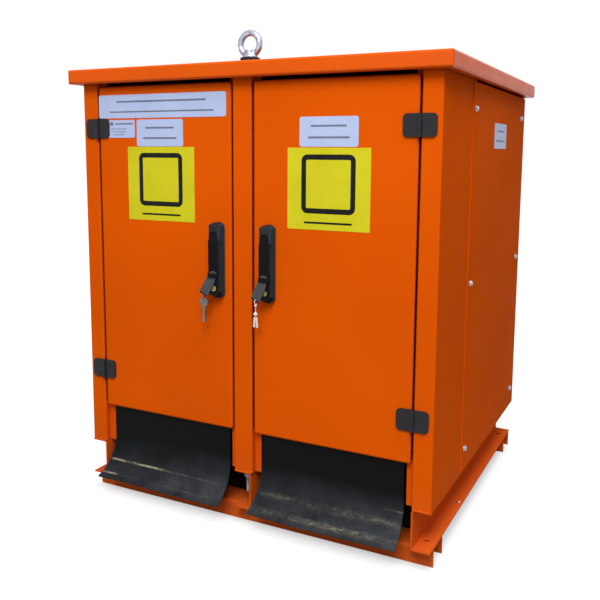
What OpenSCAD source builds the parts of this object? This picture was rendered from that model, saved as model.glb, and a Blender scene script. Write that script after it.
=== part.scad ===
// Compact substation: a sheet steel kiosk on a skid frame, with two front
// doors, rubber cable flaps under them, bolted side and rear panels and two
// lifting eyes. X runs along the front, Y from front to back, Z up.

/* [Body] */
// Width of the body over its corner posts
body_w = 1060; // [960:10:1160]
// Depth of the body from the post faces to the rear posts
body_d = 950; // [850:10:1050]
// Height from the ground to the roof's top
body_h = 1250; // [1150:10:1400]
// Thickness of the folded body sheets
sheet_t = 2; // [1.5:0.5:3]
// Inside radius of the folds in the body sheets
fold_r = 2; // [1:0.5:3]
// Thickness of the side and rear panels
panel_t = 3; // [2:0.5:4]

/* [Skid frame] */
// Height of the two cross members
cross_h = 48; // [40:1:60]
// Depth of a cross member, front wall to rear wall
cross_d = 80; // [60:1:100]
// Front cross member's distance behind the body's front
cross_front_gap = 31; // [20:1:50]
// Rear cross member's distance before the body's rear
cross_rear_gap = 16; // [10:1:30]
// Height of the channel beams that carry the body
beam_h = 107; // [95:1:125]
// Thickness of the beams and cross members
beam_t = 4; // [3:0.5:6]
// Inside radius of the folds in the beams
beam_fold_r = 4; // [3:0.5:6]
// Flange width of the outer beams
side_flange = 50; // [45:1:60]
// Flange width of the middle beam
middle_flange = 46; // [40:1:55]
// Distance that the beams end short of the body's rear
beam_rear_gap = 8; // [4:1:14]
// Distance from a beam's end to its foundation bolt hole
bolt_hole_inset = 58; // [50:1:75]
// Diameter of a foundation bolt hole
bolt_hole_d = 14; // [10:0.5:18]

/* [Front frame] */
// Visible width of an outer front post
post_face = 50; // [40:1:60]
// Visible width of the middle post
middle_face = 56; // [46:1:70]
// Depth of the rebate that a door closes into
rebate = 20; // [19:0.5:24]
// Width of the door stops on the outer posts
side_stop = 20; // [16:1:24]
// Width of the door stops on the middle post
middle_stop = 18; // [14:1:22]
// Length of a corner post's side wall
corner_side = 300; // [280:5:320]
// Width of the strip of that wall which the side panel laps
panel_lap = 35; // [30:1:50]
// Distance of the panels' upper edges below the roof's rim
panel_drop = 5; // [3:1:20]
// Width of a rear corner post's legs
rear_leg = 42; // [36:1:50]
// Height of the top rails' upright legs
rail_h = 68; // [60:1:80]
// Depth of the top rails' flat legs
rail_d = 60; // [52:1:70]

/* [Roof] */
// Height of the roof's rim
rim_h = 40; // [35:1:60]
// Thickness of the roof sheet
roof_t = 2.5; // [2:0.5:4]
// Width of the lip folded in under the rim
roof_lip = 20; // [12:1:22]
// Roof overhang at each side
roof_side = 29; // [25:1:45]
// Roof overhang at the front
roof_front = 31; // [25:1:45]
// Roof overhang at the rear
roof_rear = 29; // [25:1:45]
// Rounding of the roof's folded edges and corners
roof_r = 6; // [4:0.5:8]

/* [Doors] */
// Gap between a door and its posts
door_gap = 6; // [6:0.5:9]
// Height of the doors' lower edge above the ground
door_low_z = 270; // [250:1:300]
// Gap between the doors and the roof's rim
door_top_gap = 9; // [8:0.5:14]
// Depth of a door, front skin to the back of its lips
door_depth = 15; // [12:0.5:15]
// Thickness of a door's sheet
door_t = 2; // [1.5:0.5:3]
// Width of the lips folded in behind a door
door_lip = 16; // [12:1:22]
// Rounding of a door's corners seen from the front
door_corner_r = 10; // [6:1:14]
// Rounding of a door's pressed front edges
door_edge_r = 6; // [3:0.5:8]

/* [Hinges] */
// Width of a hinge over both leaves
hinge_w = 82; // [70:1:90]
// Height of a hinge
hinge_h = 54; // [44:1:64]
// Thickness of a hinge's leaves
hinge_t = 5; // [4:0.5:6]
// Rounding of a leaf's outer corners
hinge_corner_r = 11; // [6:1:14]
// Radius of the knuckle
knuckle_r = 5.5; // [5:0.25:6]
// Diameter of the hinge pin
pin_d = 5; // [4:0.5:6]
// Distance of the upper hinges' middle below the doors' upper edge
hinge_top_drop = 115; // [80:1:140]
// Distance of the lower hinges' middle above the doors' lower edge
hinge_low_rise = 112; // [80:1:150]

/* [Swing handles] */
// Width of a handle
handle_w = 34; // [30:1:40]
// Length of a handle's housing
handle_l = 204; // [190:1:220]
// Depth of a handle from the door's face
handle_d = 30; // [27:1:34]
// Depth of the housing's flat part, behind the lever
dish_d = 12; // [10:0.5:13]
// Radius of the arcs that end a handle
handle_end_r = 20; // [18:1:30]
// Bevel along the front edges of the housing
handle_bevel = 4; // [2:0.5:4]
// Length of the housing's raised cap above the lever
cap_l = 24; // [20:1:30]
// Rounding of the cap's upper front edge
cap_r = 16; // [10:1:18]
// Gap between the cap and the lever's arched end
seam_gap = 2; // [2:0.5:3]
// Width of the cheeks that hold the lever's pin
cheek_w = 3.5; // [3:0.5:4]
// Diameter of the lever's pin
lever_pin_d = 5; // [4:0.5:5]
// Distance of the pin behind the lever's front
pin_inset = 5; // [4.5:0.5:6]
// Distance of the pin below the lever's upper end
pin_drop = 12; // [11:1:14]
// Height of the lever's lower end above the handle's lower end
lever_rise = 9; // [4:1:12]
// Height of the handles' lower ends above the doors' lower edge
handle_rise = 364; // [330:1:400]
// Distance of the left handle's middle from the body's middle
left_handle_x = 71; // [66:1:100]
// Distance of the right handle's middle from the body's middle
right_handle_x = 83; // [66:1:100]
// Diameter of the lock cylinder
lock_d = 15; // [14:0.5:20]
// Height of the lock cylinder above the handle's lower end
lock_z = 29; // [25:1:34]
// Height of the lock cover's pivot above the handle's lower end
cover_rise = 64; // [60:1:70]
// Length of the swivelling lock cover below its pivot
cover_l = 62; // [54:1:63]
// Width of the lock cover
cover_w = 27; // [24:1:30]
// Thickness of the lock cover
cover_t = 4; // [3:0.5:5]
// Height of the bar that holds a lock cover's upper end
bar_h = 12; // [9:1:14]
// Thickness of that bar
bar_t = 3; // [2:0.5:4]
// Angle at which the left lock cover stands open
left_cover_open = 30; // [20:1:40]
// Angle at which the right lock cover stands open
right_cover_open = 24; // [20:1:40]

/* [Cable flaps] */
// Width of a rubber flap
flap_w = 404; // [360:2:410]
// Thickness of a rubber flap
flap_t = 5; // [4:0.5:8]
// Radius of the flap's outward curl, on its front
flap_r = 108; // [90:1:120]
// Height at which the curl begins
flap_curl_z = 178; // [170:1:190]
// Angle through which the flap curls
flap_sweep = 75; // [55:1:80]
// Height by which the flap laps the door
flap_lap = 26; // [20:1:40]

/* [Lifting eyes] */
// Outer diameter of a lifting eye's ring
eye_od = 72; // [63:1:80]
// Diameter of the steel of the ring
eye_tube = 16; // [14:0.5:18]
// Diameter of the collar's foot
eye_collar_d = 40; // [36:1:44]
// Height of the collar
eye_collar_h = 19; // [16:1:20]
// Thickness of the sealing ring under an eye
seal_t = 14; // [10:1:16]
// Diameter of the sealing ring
seal_d = 51; // [44:1:60]
// Diameter of the eye's threaded shank
shank_d = 20; // [18:1:22]
// Length of the shank below the sealing ring
shank_l = 30; // [20:1:40]
// Distance of the eyes from the body's front and rear
eye_inset = 43; // [36:1:46]

/* [Hidden] */
$fn = 64;
clear = 0.3;
cut = 1;
bend_steps = 6;
half_w = body_w / 2;
post_x = half_w - post_face;
beam_top = cross_h + beam_h;
roof_low = body_h - rim_h;
roof_under = body_h - roof_t;
panel_top = roof_low - panel_drop;
cross_rear_y = body_d - cross_rear_gap - cross_d;
beam_len = body_d - beam_rear_gap;
panel_y = corner_side - panel_lap;

door_top = roof_low - door_top_gap;
door_x0 = middle_face / 2 + door_gap;
door_x1 = post_x - door_gap;
hinge_top_z = door_top - hinge_top_drop;
hinge_low_z = door_low_z + hinge_low_rise;
hinge_x = (door_x1 + post_x) / 2;
hinge_y = -knuckle_r - 1;
leaf_gap = 0.8;
pin_fit = 0.05;
knuckle_n = 3;
web_step = 1.5;

handle_z = door_low_z + handle_rise;
handle_tip = handle_z + handle_l;
seam_z = handle_tip - cap_l;
lever_w = handle_w - 1;
lever_low_z = handle_z + lever_rise;
lever_tip = seam_z - seam_gap;
lever_back = -dish_d - clear;
slot_w = handle_w - 2 * cheek_w;
tongue_w = slot_w - 1;
tongue_t = 2 * pin_inset;
pin_y = -handle_d + pin_inset;
pin_z = lever_tip - pin_drop;
cheek_front_z = pin_z - pin_inset - 1;
cheek_back_z = cheek_front_z - (handle_d - dish_d);
lock_depth = 15;
lock_proud = 1;
keyway_w = 2;
keyway_t = 3;
cover_gap = 1.5;
cover_pin_r = 2.5;
cover_z = handle_z + cover_rise;
cover_y = -handle_d - cover_gap - cover_t;
cover_neck_w = cover_w - 4;
cover_end_r = 5;
groove_w = 1.2;
groove_t = 0.6;
bar_gap = 0.5;
bar_r = 3;
hole_inset = 4;
ring_r = 6;
ring_wire_r = 0.9;
ring_hole_r = 2.4;
key_r = 13;
key_t = 2.4;
key_hole_r = 2;
key_hang = 2 * ring_r + key_r - 1.5;
key_blade_l = 42;
key_blade_w = 8;
key_neck_r = 5.5;
tag_w = 5.5;
tag_l = 27;
tag_t = 1.2;
tag_hang = 46;
tag_cord_r = 0.9;
tag_tilt = 4;
bead_hang = [15, 38];
bead_r = [4, 5.5];

flap_y = door_depth + clear;
flap_x0 = (middle_face / 2 + middle_stop + post_x - side_stop) / 2 - flap_w / 2;
flap_top = door_low_z + flap_lap;

eye_ring_r = (eye_od - eye_tube) / 2;
eye_seat_z = body_h + seal_t;
eye_z = eye_seat_z + eye_od / 2 - 1;

// The origin is the middle of the whole footprint, flaps and roof included
front_reach = flap_y - flap_r * (1 - cos(flap_sweep));
mid_y = (front_reach + body_d + roof_rear) / 2;

ORANGE = [0.87, 0.33, 0.02];
CHARCOAL = [0.13, 0.13, 0.13];
BLACK = [0.08, 0.08, 0.09];
ZINC = [0.72, 0.74, 0.77];
BRASS = [0.78, 0.62, 0.32];
RUBBER = [0.09, 0.09, 0.1];

// A child is drawn from the front face's middle on the ground
module placed() {
    translate([0, -mid_y, 0]) children();
}

// The left half is the right half mirrored
module on_side(side) {
    mirror([side < 0 ? 1 : 0, 0, 0]) children();
}

function unit(v) = v / norm(v);
function left_of(v) = [-v[1], v[0]];
function turn(a, b) = a[0] * b[1] - a[1] * b[0];

// Length that the bend at point i takes from the flats beside it
function bend_len(points, i, r) =
    r * tan(acos(unit(points[i] - points[i - 1]) * unit(points[i + 1] - points[i])) / 2);

// Points round the bend at point i, a distance d to the left of the line
function bend_points(points, i, r, d) =
    let (way = unit(points[i] - points[i - 1]),
        next = unit(points[i + 1] - points[i]),
        hand = turn(way, next) > 0 ? 1 : -1,
        start = points[i] - way * bend_len(points, i, r),
        centre = start + left_of(way) * hand * r,
        angle = acos(way * next) * hand,
        spoke = -left_of(way) * (hand * r - d))
    [for (k = [0 : bend_steps])
        let (a = angle * k / bend_steps)
        centre + [spoke[0] * cos(a) - spoke[1] * sin(a), spoke[0] * sin(a) + spoke[1] * cos(a)]];

// One whole edge of the sheet, a distance d to the left of the line
function sheet_edge(points, r, d) =
    let (last = len(points) - 1,
        first_way = unit(points[1] - points[0]),
        last_way = unit(points[last] - points[last - 1]))
    concat([points[0] + left_of(first_way) * d],
        [for (i = [1 : last - 1]) each bend_points(points, i, r, d)],
        [points[last] + left_of(last_way) * d]);

function backwards(list) = [for (i = [len(list) - 1 : -1 : 0]) list[i]];

// Outline of a sheet of thickness t folded along a line through its middle
module folded(points, t, inside_r) {
    r = inside_r + t / 2;
    polygon(concat(sheet_edge(points, r, t / 2), backwards(sheet_edge(points, r, -t / 2))));
}

// A section in X and Z, drawn out along Y
module along_y(from, to) {
    translate([0, to, 0]) rotate([90, 0, 0]) linear_extrude(to - from) children();
}

// A section in Y and Z, drawn out along X
module along_x(from, to) {
    translate([from, 0, 0]) rotate([90, 0, 90]) linear_extrude(to - from) children();
}

// A section in X and Y, drawn out along Z
module along_z(from, to) {
    translate([0, 0, from]) linear_extrude(to - from) children();
}

// Rectangle with its four corners rounded
module round_rect(low, high, r) {
    translate([low[0] + r, low[1]]) square([high[0] - low[0] - 2 * r, high[1] - low[1]]);
    translate([low[0], low[1] + r]) square([high[0] - low[0], high[1] - low[1] - 2 * r]);
    for (x = [low[0] + r, high[0] - r])
        for (y = [low[1] + r, high[1] - r])
            translate([x, y]) circle(r);
}

// Block whose four front edges and four upright corners are rounded
module pressed_box(low, high, edge_r, corner_r) {
    deep = high[1] + 2 * edge_r;
    intersection() {
        along_y(low[1], high[1]) round_rect([low[0], low[2]], [high[0], high[2]], corner_r);
        along_z(low[2], high[2]) round_rect([low[0], low[1]], [high[0], deep], edge_r);
        along_x(low[0], high[0]) round_rect([low[1], low[2]], [deep, high[2]], edge_r);
    }
}

module cross_member(y) {
    color(ORANGE) placed() along_x(-half_w, half_w) translate([y, 0])
        folded([[beam_t / 2, 0], [beam_t / 2, cross_h - beam_t / 2],
            [cross_d - beam_t / 2, cross_h - beam_t / 2], [cross_d - beam_t / 2, 0]],
            beam_t, beam_fold_r);
}

module front_cross_member() {
    cross_member(cross_front_gap);
}

module rear_cross_member() {
    cross_member(cross_rear_y);
}

// Channel section on its side, web at x = 0 and flanges towards +X
module channel(flange) {
    folded([[flange, cross_h + beam_t / 2], [beam_t / 2, cross_h + beam_t / 2],
        [beam_t / 2, beam_top - beam_t / 2], [flange, beam_top - beam_t / 2]],
        beam_t, beam_fold_r);
}

module side_beam(side) {
    hole_x = half_w - side_flange / 2;
    color(ORANGE) placed() on_side(side) difference() {
        along_y(0, beam_len) translate([half_w - side_flange, 0]) channel(side_flange);
        for (y = [bolt_hole_inset, beam_len - bolt_hole_inset])
            translate([hole_x, y, cross_h - cut]) cylinder(d = bolt_hole_d, h = beam_t + 2 * cut);
    }
}

module left_base_beam() {
    side_beam(-1);
}

module right_base_beam() {
    side_beam(1);
}

module middle_base_beam() {
    color(ORANGE) placed() along_y(0, beam_len)
        translate([middle_flange / 2, 0]) mirror([1, 0]) channel(middle_flange);
}

module side_post(side) {
    t = sheet_t / 2;
    color(ORANGE) placed() on_side(side) along_z(beam_top, roof_under)
        folded([[post_x - side_stop, rebate + t], [post_x + t, rebate + t], [post_x + t, t],
            [half_w - t, t], [half_w - t, corner_side]], sheet_t, fold_r);
}

module left_front_post() {
    side_post(-1);
}

module right_front_post() {
    side_post(1);
}

module middle_front_post() {
    t = sheet_t / 2;
    face = middle_face / 2;
    color(ORANGE) placed() along_z(beam_top, roof_under)
        folded([[-face - middle_stop, rebate + t], [-face + t, rebate + t], [-face + t, t],
            [face - t, t], [face - t, rebate + t], [face + middle_stop, rebate + t]],
            sheet_t, fold_r);
}

module rear_post(side) {
    t = sheet_t / 2;
    color(ORANGE) placed() on_side(side) along_z(beam_top, roof_under)
        folded([[half_w - t, body_d - rear_leg], [half_w - t, body_d - t],
            [half_w - rear_leg, body_d - t]], sheet_t, fold_r);
}

module left_rear_post() {
    rear_post(-1);
}

module right_rear_post() {
    rear_post(1);
}

// Angle under the roof, its upright leg at y = 0 and its flat leg towards +Y
module top_rail(length) {
    t = sheet_t / 2;
    along_x(-length / 2, length / 2)
        folded([[t, roof_under - rail_h], [t, roof_under - t], [rail_d, roof_under - t]],
            sheet_t, fold_r);
}

module front_top_rail() {
    rail_y = rebate + sheet_t;
    color(ORANGE) placed() difference() {
        translate([0, rail_y, 0]) top_rail(2 * (half_w - sheet_t));
        translate([0, eye_inset, roof_under - rail_h]) cylinder(d = shank_d + 1, h = rail_h + cut);
    }
}

module rear_top_rail() {
    color(ORANGE) placed() difference() {
        translate([0, body_d - sheet_t, 0]) mirror([0, 1, 0])
            top_rail(2 * (half_w - sheet_t - fold_r));
        translate([0, body_d - eye_inset, roof_under - rail_h])
            cylinder(d = shank_d + 1, h = rail_h + cut);
    }
}

module side_panel(side) {
    color(ORANGE) placed() on_side(side)
        translate([half_w, panel_y, beam_top])
            cube([panel_t, body_d - panel_y, panel_top - beam_top]);
}

module left_side_panel() {
    side_panel(-1);
}

module right_side_panel() {
    side_panel(1);
}

module rear_panel() {
    wide = body_w + 2 * panel_t;
    color(ORANGE) placed() translate([-wide / 2, body_d, beam_top])
        cube([wide, panel_t, panel_top - beam_top]);
}

// Folded lid with its rim turned down all round and a lip turned in below
module roof() {
    x = half_w + roof_side;
    y0 = -roof_front;
    y1 = body_d + roof_rear;
    inner_r = roof_r - roof_t;
    color(ORANGE) placed() difference() {
        lid(x, y0, y1, roof_low, body_h, roof_r);
        lid(x - roof_t, y0 + roof_t, y1 - roof_t, roof_low + roof_t, roof_under, inner_r);
        along_z(roof_low - cut, roof_low + roof_t + cut)
            translate([roof_lip - x, y0 + roof_lip])
                square([2 * (x - roof_lip), y1 - y0 - 2 * roof_lip]);
        for (y = [eye_inset, body_d - eye_inset])
            translate([0, y, roof_under - cut]) cylinder(d = shank_d + 1, h = roof_t + 2 * cut);
    }
}

// Flat block with its edges and upright corners rounded
module lid(x, y0, y1, z0, z1, r) {
    intersection() {
        along_z(z0, z1) round_rect([-x, y0], [x, y1], r);
        along_y(y0, y1) round_rect([-x, z0], [x, z1], r);
        along_x(-x, x) round_rect([y0, z0], [y1, z1], r);
    }
}

module eye_seal(y) {
    color(BLACK) placed() translate([0, y, body_h]) difference() {
        cylinder(d = seal_d, h = seal_t);
        translate([0, 0, -cut]) cylinder(d = shank_d + 1, h = seal_t + 2 * cut);
    }
}

module front_eye_seal() {
    eye_seal(eye_inset);
}

module rear_eye_seal() {
    eye_seal(body_d - eye_inset);
}

// Forged ring on a conical collar, with its shank through the roof
module lifting_eye(y) {
    color(ZINC) placed() translate([0, y, 0]) {
        translate([0, 0, eye_z]) rotate([90, 0, 0])
            rotate_extrude() translate([eye_ring_r, 0]) circle(d = eye_tube);
        translate([0, 0, eye_seat_z])
            cylinder(d1 = eye_collar_d, d2 = eye_collar_d - 8, h = eye_collar_h);
        translate([0, 0, eye_seat_z - seal_t - shank_l]) cylinder(d = shank_d, h = seal_t + shank_l + cut);
    }
}

module front_lifting_eye() {
    lifting_eye(eye_inset);
}

module rear_lifting_eye() {
    lifting_eye(body_d - eye_inset);
}

// Pan door: pressed front skin, folded sides and lips turned in behind
module door(side) {
    t = door_t;
    low = [door_x0, 0, door_low_z];
    high = [door_x1, door_depth, door_top];
    color(ORANGE) placed() on_side(side) difference() {
        pressed_box(low, high, door_edge_r, door_corner_r);
        pressed_box(low + [t, t, t], high - [t, t, t], max(door_edge_r - t, 0.5), door_corner_r - t);
        along_y(door_depth - 2 * t, door_depth + cut)
            round_rect([door_x0 + door_lip, door_low_z + door_lip],
                [door_x1 - door_lip, door_top - door_lip], door_corner_r);
    }
}

module left_door() {
    door(-1);
}

module right_door() {
    door(1);
}

// Plate of a hinge leaf from the knuckle's side to its rounded outer end
module leaf_plate(to_post) {
    reach = hinge_w / 2;
    inner = knuckle_r + leaf_gap;
    on_side(to_post ? 1 : -1) along_y(-hinge_t, 0) {
        translate([inner, -hinge_h / 2]) square([reach - inner - hinge_corner_r, hinge_h]);
        intersection() {
            round_rect([-reach, -hinge_h / 2], [reach, hinge_h / 2], hinge_corner_r);
            translate([inner, -hinge_h]) square([reach, 2 * hinge_h]);
        }
    }
}

// One barrel of the knuckle with the web that joins it to its plate
module barrel(to_post, from, to) {
    web_t = hinge_t - web_step;
    translate([0, hinge_y, from]) cylinder(r = knuckle_r, h = to - from);
    on_side(to_post ? 1 : -1) along_z(from, to)
        translate([0, -hinge_t]) square([knuckle_r + 2 * leaf_gap, web_t]);
}

// The leaf on the post has the outer barrels and the pin
module frame_leaf(side, z) {
    third = hinge_h / knuckle_n;
    color(CHARCOAL) placed() on_side(side) translate([hinge_x, 0, z]) {
        leaf_plate(true);
        barrel(true, -hinge_h / 2, -third / 2 - leaf_gap / 2);
        barrel(true, third / 2 + leaf_gap / 2, hinge_h / 2);
        translate([0, hinge_y, -hinge_h / 2]) cylinder(d = pin_d, h = hinge_h);
    }
}

// The leaf on the door has the middle barrel, bored for the pin
module door_leaf(side, z) {
    third = hinge_h / knuckle_n;
    color(CHARCOAL) placed() on_side(side) translate([hinge_x, 0, z]) difference() {
        union() {
            leaf_plate(false);
            barrel(false, -third / 2 + leaf_gap / 2, third / 2 - leaf_gap / 2);
        }
        translate([0, hinge_y, -third]) cylinder(r = pin_d / 2 + pin_fit, h = 2 * third);
    }
}

module left_upper_frame_leaf() {
    frame_leaf(-1, hinge_top_z);
}

module left_lower_frame_leaf() {
    frame_leaf(-1, hinge_low_z);
}

module right_upper_frame_leaf() {
    frame_leaf(1, hinge_top_z);
}

module right_lower_frame_leaf() {
    frame_leaf(1, hinge_low_z);
}

module left_upper_door_leaf() {
    door_leaf(-1, hinge_top_z);
}

module left_lower_door_leaf() {
    door_leaf(-1, hinge_low_z);
}

module right_upper_door_leaf() {
    door_leaf(1, hinge_top_z);
}

module right_lower_door_leaf() {
    door_leaf(1, hinge_low_z);
}

// Long shape with arched ends, in X and Z, with the radius of each arch
module arched_slot(w, low, high, low_r, high_r) {
    intersection() {
        translate([-w / 2, low]) square([w, high - low]);
        union() {
            translate([0, low + low_r]) circle(low_r);
            translate([-low_r, low + low_r]) square([2 * low_r, high - low - low_r - high_r]);
            translate([0, high - high_r]) circle(high_r);
        }
    }
}

// Flat housing with a raised cap, and two cheeks that taper down beside the
// lever's upper end and hold its pin
module handle_housing(x) {
    side_x = handle_w / 2;
    bevel_x = side_x - handle_bevel;
    bevel_y = handle_bevel - handle_d;
    color(CHARCOAL) placed() translate([x, 0, 0]) {
        difference() {
            intersection() {
                along_y(-handle_d, 0)
                    arched_slot(handle_w, handle_z, handle_tip, handle_end_r, handle_end_r);
                along_z(handle_z, handle_tip)
                    polygon([[-side_x, 0], [-side_x, bevel_y], [-bevel_x, -handle_d],
                        [bevel_x, -handle_d], [side_x, bevel_y], [side_x, 0]]);
                along_x(-handle_w, handle_w) intersection() {
                    polygon([[0, handle_z], [-dish_d, handle_z], [-dish_d, cheek_back_z],
                        [-handle_d, cheek_front_z], [-handle_d, handle_tip], [0, handle_tip]]);
                    round_rect([-handle_d, handle_z - 2 * cap_r], [2 * cap_r, handle_tip], cap_r);
                }
            }
            along_y(-handle_d - cut, -dish_d)
                arched_slot(slot_w, lever_low_z, seam_z, handle_end_r, slot_w / 2);
        }
        translate([cheek_w / 2 - side_x, pin_y, pin_z]) rotate([0, 90, 0])
            cylinder(d = lever_pin_d, h = handle_w - cheek_w);
    }
}

module left_handle_housing() {
    handle_housing(-left_handle_x);
}

module right_handle_housing() {
    handle_housing(right_handle_x);
}

// Lever that lies in the housing: a narrow tongue turns on the pin, and the
// wide grip below it follows the cheeks' slope
module lever(x) {
    front = -handle_d;
    slope = (handle_d - dish_d) * sqrt(2) / 2;
    shoulder_z = cheek_front_z - seam_gap * sqrt(2);
    color(BLACK) placed() translate([x, 0, 0]) difference() {
        union() {
            intersection() {
                along_y(front, lever_back)
                    arched_slot(lever_w, lever_low_z, seam_z, handle_end_r, handle_end_r);
                along_x(-lever_w, lever_w)
                    polygon([[front, lever_low_z], [lever_back, lever_low_z],
                        [lever_back, shoulder_z + front - lever_back], [front, shoulder_z]]);
            }
            intersection() {
                along_y(front, lever_back)
                    arched_slot(tongue_w, lever_low_z, lever_tip, handle_end_r, tongue_w / 2);
                along_x(-tongue_w, tongue_w)
                    polygon([[front, lever_low_z + lever_w], [lever_back, lever_low_z + lever_w],
                        [lever_back, pin_z - slope], [front + tongue_t, pin_z],
                        [front + tongue_t, lever_tip], [front, lever_tip]]);
            }
            translate([0, cover_y - bar_gap - cut, cover_z]) rotate([-90, 0, 0])
                cylinder(r = cover_pin_r, h = cover_gap + cover_t + bar_gap + 2 * cut);
            along_y(cover_y - bar_gap - bar_t, cover_y - bar_gap)
                round_rect([-cover_w / 2, cover_z - bar_h / 2], [cover_w / 2, cover_z + bar_h / 2],
                    bar_r);
        }
        translate([-handle_w, pin_y, pin_z]) rotate([0, 90, 0])
            cylinder(r = lever_pin_d / 2 + pin_fit, h = 2 * handle_w);
        translate([0, front - cut, handle_z + lock_z]) rotate([-90, 0, 0])
            cylinder(r = lock_d / 2 + clear, h = lock_depth + cut);
    }
}

module left_lever() {
    lever(-left_handle_x);
}

module right_lever() {
    lever(right_handle_x);
}

// Round lock insert with its keyway
module lock_cylinder(x) {
    color(BRASS) placed() translate([x, -handle_d - lock_proud, handle_z + lock_z])
        rotate([-90, 0, 0]) difference() {
            cylinder(d = lock_d, h = lock_depth + lock_proud);
            translate([-keyway_w / 2, -lock_d / 4, -cut])
                cube([keyway_w, lock_d / 2, keyway_t + cut]);
        }
}

module left_lock_cylinder() {
    lock_cylinder(-left_handle_x);
}

module right_lock_cylinder() {
    lock_cylinder(right_handle_x);
}

// Swivelling cover with three grooves, shown swung off the lock to the left
module lock_cover(x, angle) {
    color(CHARCOAL) placed() translate([x, cover_y, cover_z]) rotate([0, angle, 0])
        difference() {
            along_y(0, cover_t) {
                circle(d = cover_neck_w);
                translate([-cover_neck_w / 2, -cover_l / 2]) square([cover_neck_w, cover_l / 2]);
                round_rect([-cover_w / 2, -cover_l], [cover_w / 2, -cover_w / 3], cover_end_r);
            }
            translate([0, -cut, 0]) rotate([-90, 0, 0])
                cylinder(r = cover_pin_r + pin_fit, h = cover_t + 2 * cut);
            translate([0, -cut, hole_inset - cover_l]) rotate([-90, 0, 0])
                cylinder(r = ring_hole_r, h = cover_t + 2 * cut);
            for (i = [-1, 0, 1])
                translate([i * cover_w / 4 - groove_w / 2, -cut, 2 * hole_inset - cover_l])
                    cube([groove_w, groove_t + cut, cover_l - 5 * hole_inset]);
        }
}

module left_lock_cover() {
    lock_cover(-left_handle_x, left_cover_open);
}

module right_lock_cover() {
    lock_cover(right_handle_x, right_cover_open);
}

// Where the ring hangs in the open cover's hole
module at_cover_end(x, angle) {
    hole = cover_l - hole_inset;
    translate([x - hole * sin(angle), cover_y + cover_t / 2, cover_z - hole * cos(angle)])
        children();
}

// Wire ring through the cover's hole, hanging down from it
module wire_ring() {
    translate([0, 0, -ring_r]) rotate([0, 90, 0])
        rotate_extrude() translate([ring_r, 0]) circle(r = ring_wire_r);
}

// Key on its ring: a round bow with a hole, a round neck and a blade
module left_key() {
    color(ZINC) placed() at_cover_end(-left_handle_x, left_cover_open) {
        wire_ring();
        translate([0, 0, -key_hang]) difference() {
            along_y(-key_t / 2, key_t / 2) {
                circle(r = key_r);
                translate([0, -key_r - key_neck_r / 2]) circle(r = key_neck_r);
                translate([-key_blade_w / 2, -key_r - key_blade_l])
                    square([key_blade_w, key_blade_l + key_r]);
            }
            translate([0, -key_t, key_r - 2 * key_hole_r]) rotate([-90, 0, 0])
                cylinder(r = key_hole_r, h = 2 * key_t);
        }
    }
}

// Seal tag on its ring: a cord with two beads and two blank strips
module right_seal_tag() {
    color("white") placed() at_cover_end(right_handle_x, right_cover_open) {
        wire_ring();
        translate([0, 0, -tag_hang - tag_w / 4])
            cylinder(r = tag_cord_r, h = tag_hang + tag_w / 4 - 2 * ring_r + ring_wire_r);
        for (i = [0, 1])
            translate([0, 0, -bead_hang[i]]) sphere(r = bead_r[i]);
        for (side = [-1, 1])
            translate([side * tag_w / 2, 0, -tag_hang]) rotate([0, -side * tag_tilt, 0])
                translate([-tag_w / 2, -tag_t / 2, -tag_l]) cube([tag_w, tag_t, tag_l]);
    }
}

// Rubber flap behind the door's lower edge, curling out over the cross member
module cable_flap(side) {
    centre_y = flap_y - flap_r;
    outer_r = flap_r + flap_t;
    color(RUBBER) placed() on_side(side) along_x(flap_x0, flap_x0 + flap_w) {
        translate([flap_y, flap_curl_z]) square([flap_t, flap_top - flap_curl_z]);
        intersection() {
            translate([centre_y, flap_curl_z]) difference() {
                circle(outer_r, $fn = 128);
                circle(flap_r, $fn = 128);
            }
            translate([centre_y, flap_curl_z])
                polygon([[0, 0], [2 * outer_r, 0], [2 * outer_r, -2 * outer_r],
                    [2 * outer_r * cos(flap_sweep), -2 * outer_r * sin(flap_sweep)]]);
        }
    }
}

module left_cable_flap() {
    cable_flap(-1);
}

module right_cable_flap() {
    cable_flap(1);
}

front_cross_member();
rear_cross_member();
left_base_beam();
middle_base_beam();
right_base_beam();
left_front_post();
middle_front_post();
right_front_post();
left_rear_post();
right_rear_post();
front_top_rail();
rear_top_rail();
left_side_panel();
right_side_panel();
rear_panel();
roof();
front_eye_seal();
rear_eye_seal();
front_lifting_eye();
rear_lifting_eye();
left_door();
right_door();
left_upper_frame_leaf();
left_lower_frame_leaf();
right_upper_frame_leaf();
right_lower_frame_leaf();
left_upper_door_leaf();
left_lower_door_leaf();
right_upper_door_leaf();
right_lower_door_leaf();
left_handle_housing();
right_handle_housing();
left_lever();
right_lever();
left_lock_cylinder();
right_lock_cylinder();
left_lock_cover();
right_lock_cover();
left_key();
right_seal_tag();
left_cable_flap();
right_cable_flap();
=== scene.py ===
# %% [markdown]
# A compact substation is a steel kiosk that stands beside a building site or a
# tunnel and takes mains power down to site voltage. Ours is powder coated
# orange and stands on a skid of folded channels. The construction comes from
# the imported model, in metres, with its origin on the ground under the middle.
# Here we only give it its finishes and the small things bolted and stuck on.

# %% Load the frame
import math

import bmesh
import bpy
from mathutils import Matrix, Vector


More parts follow.
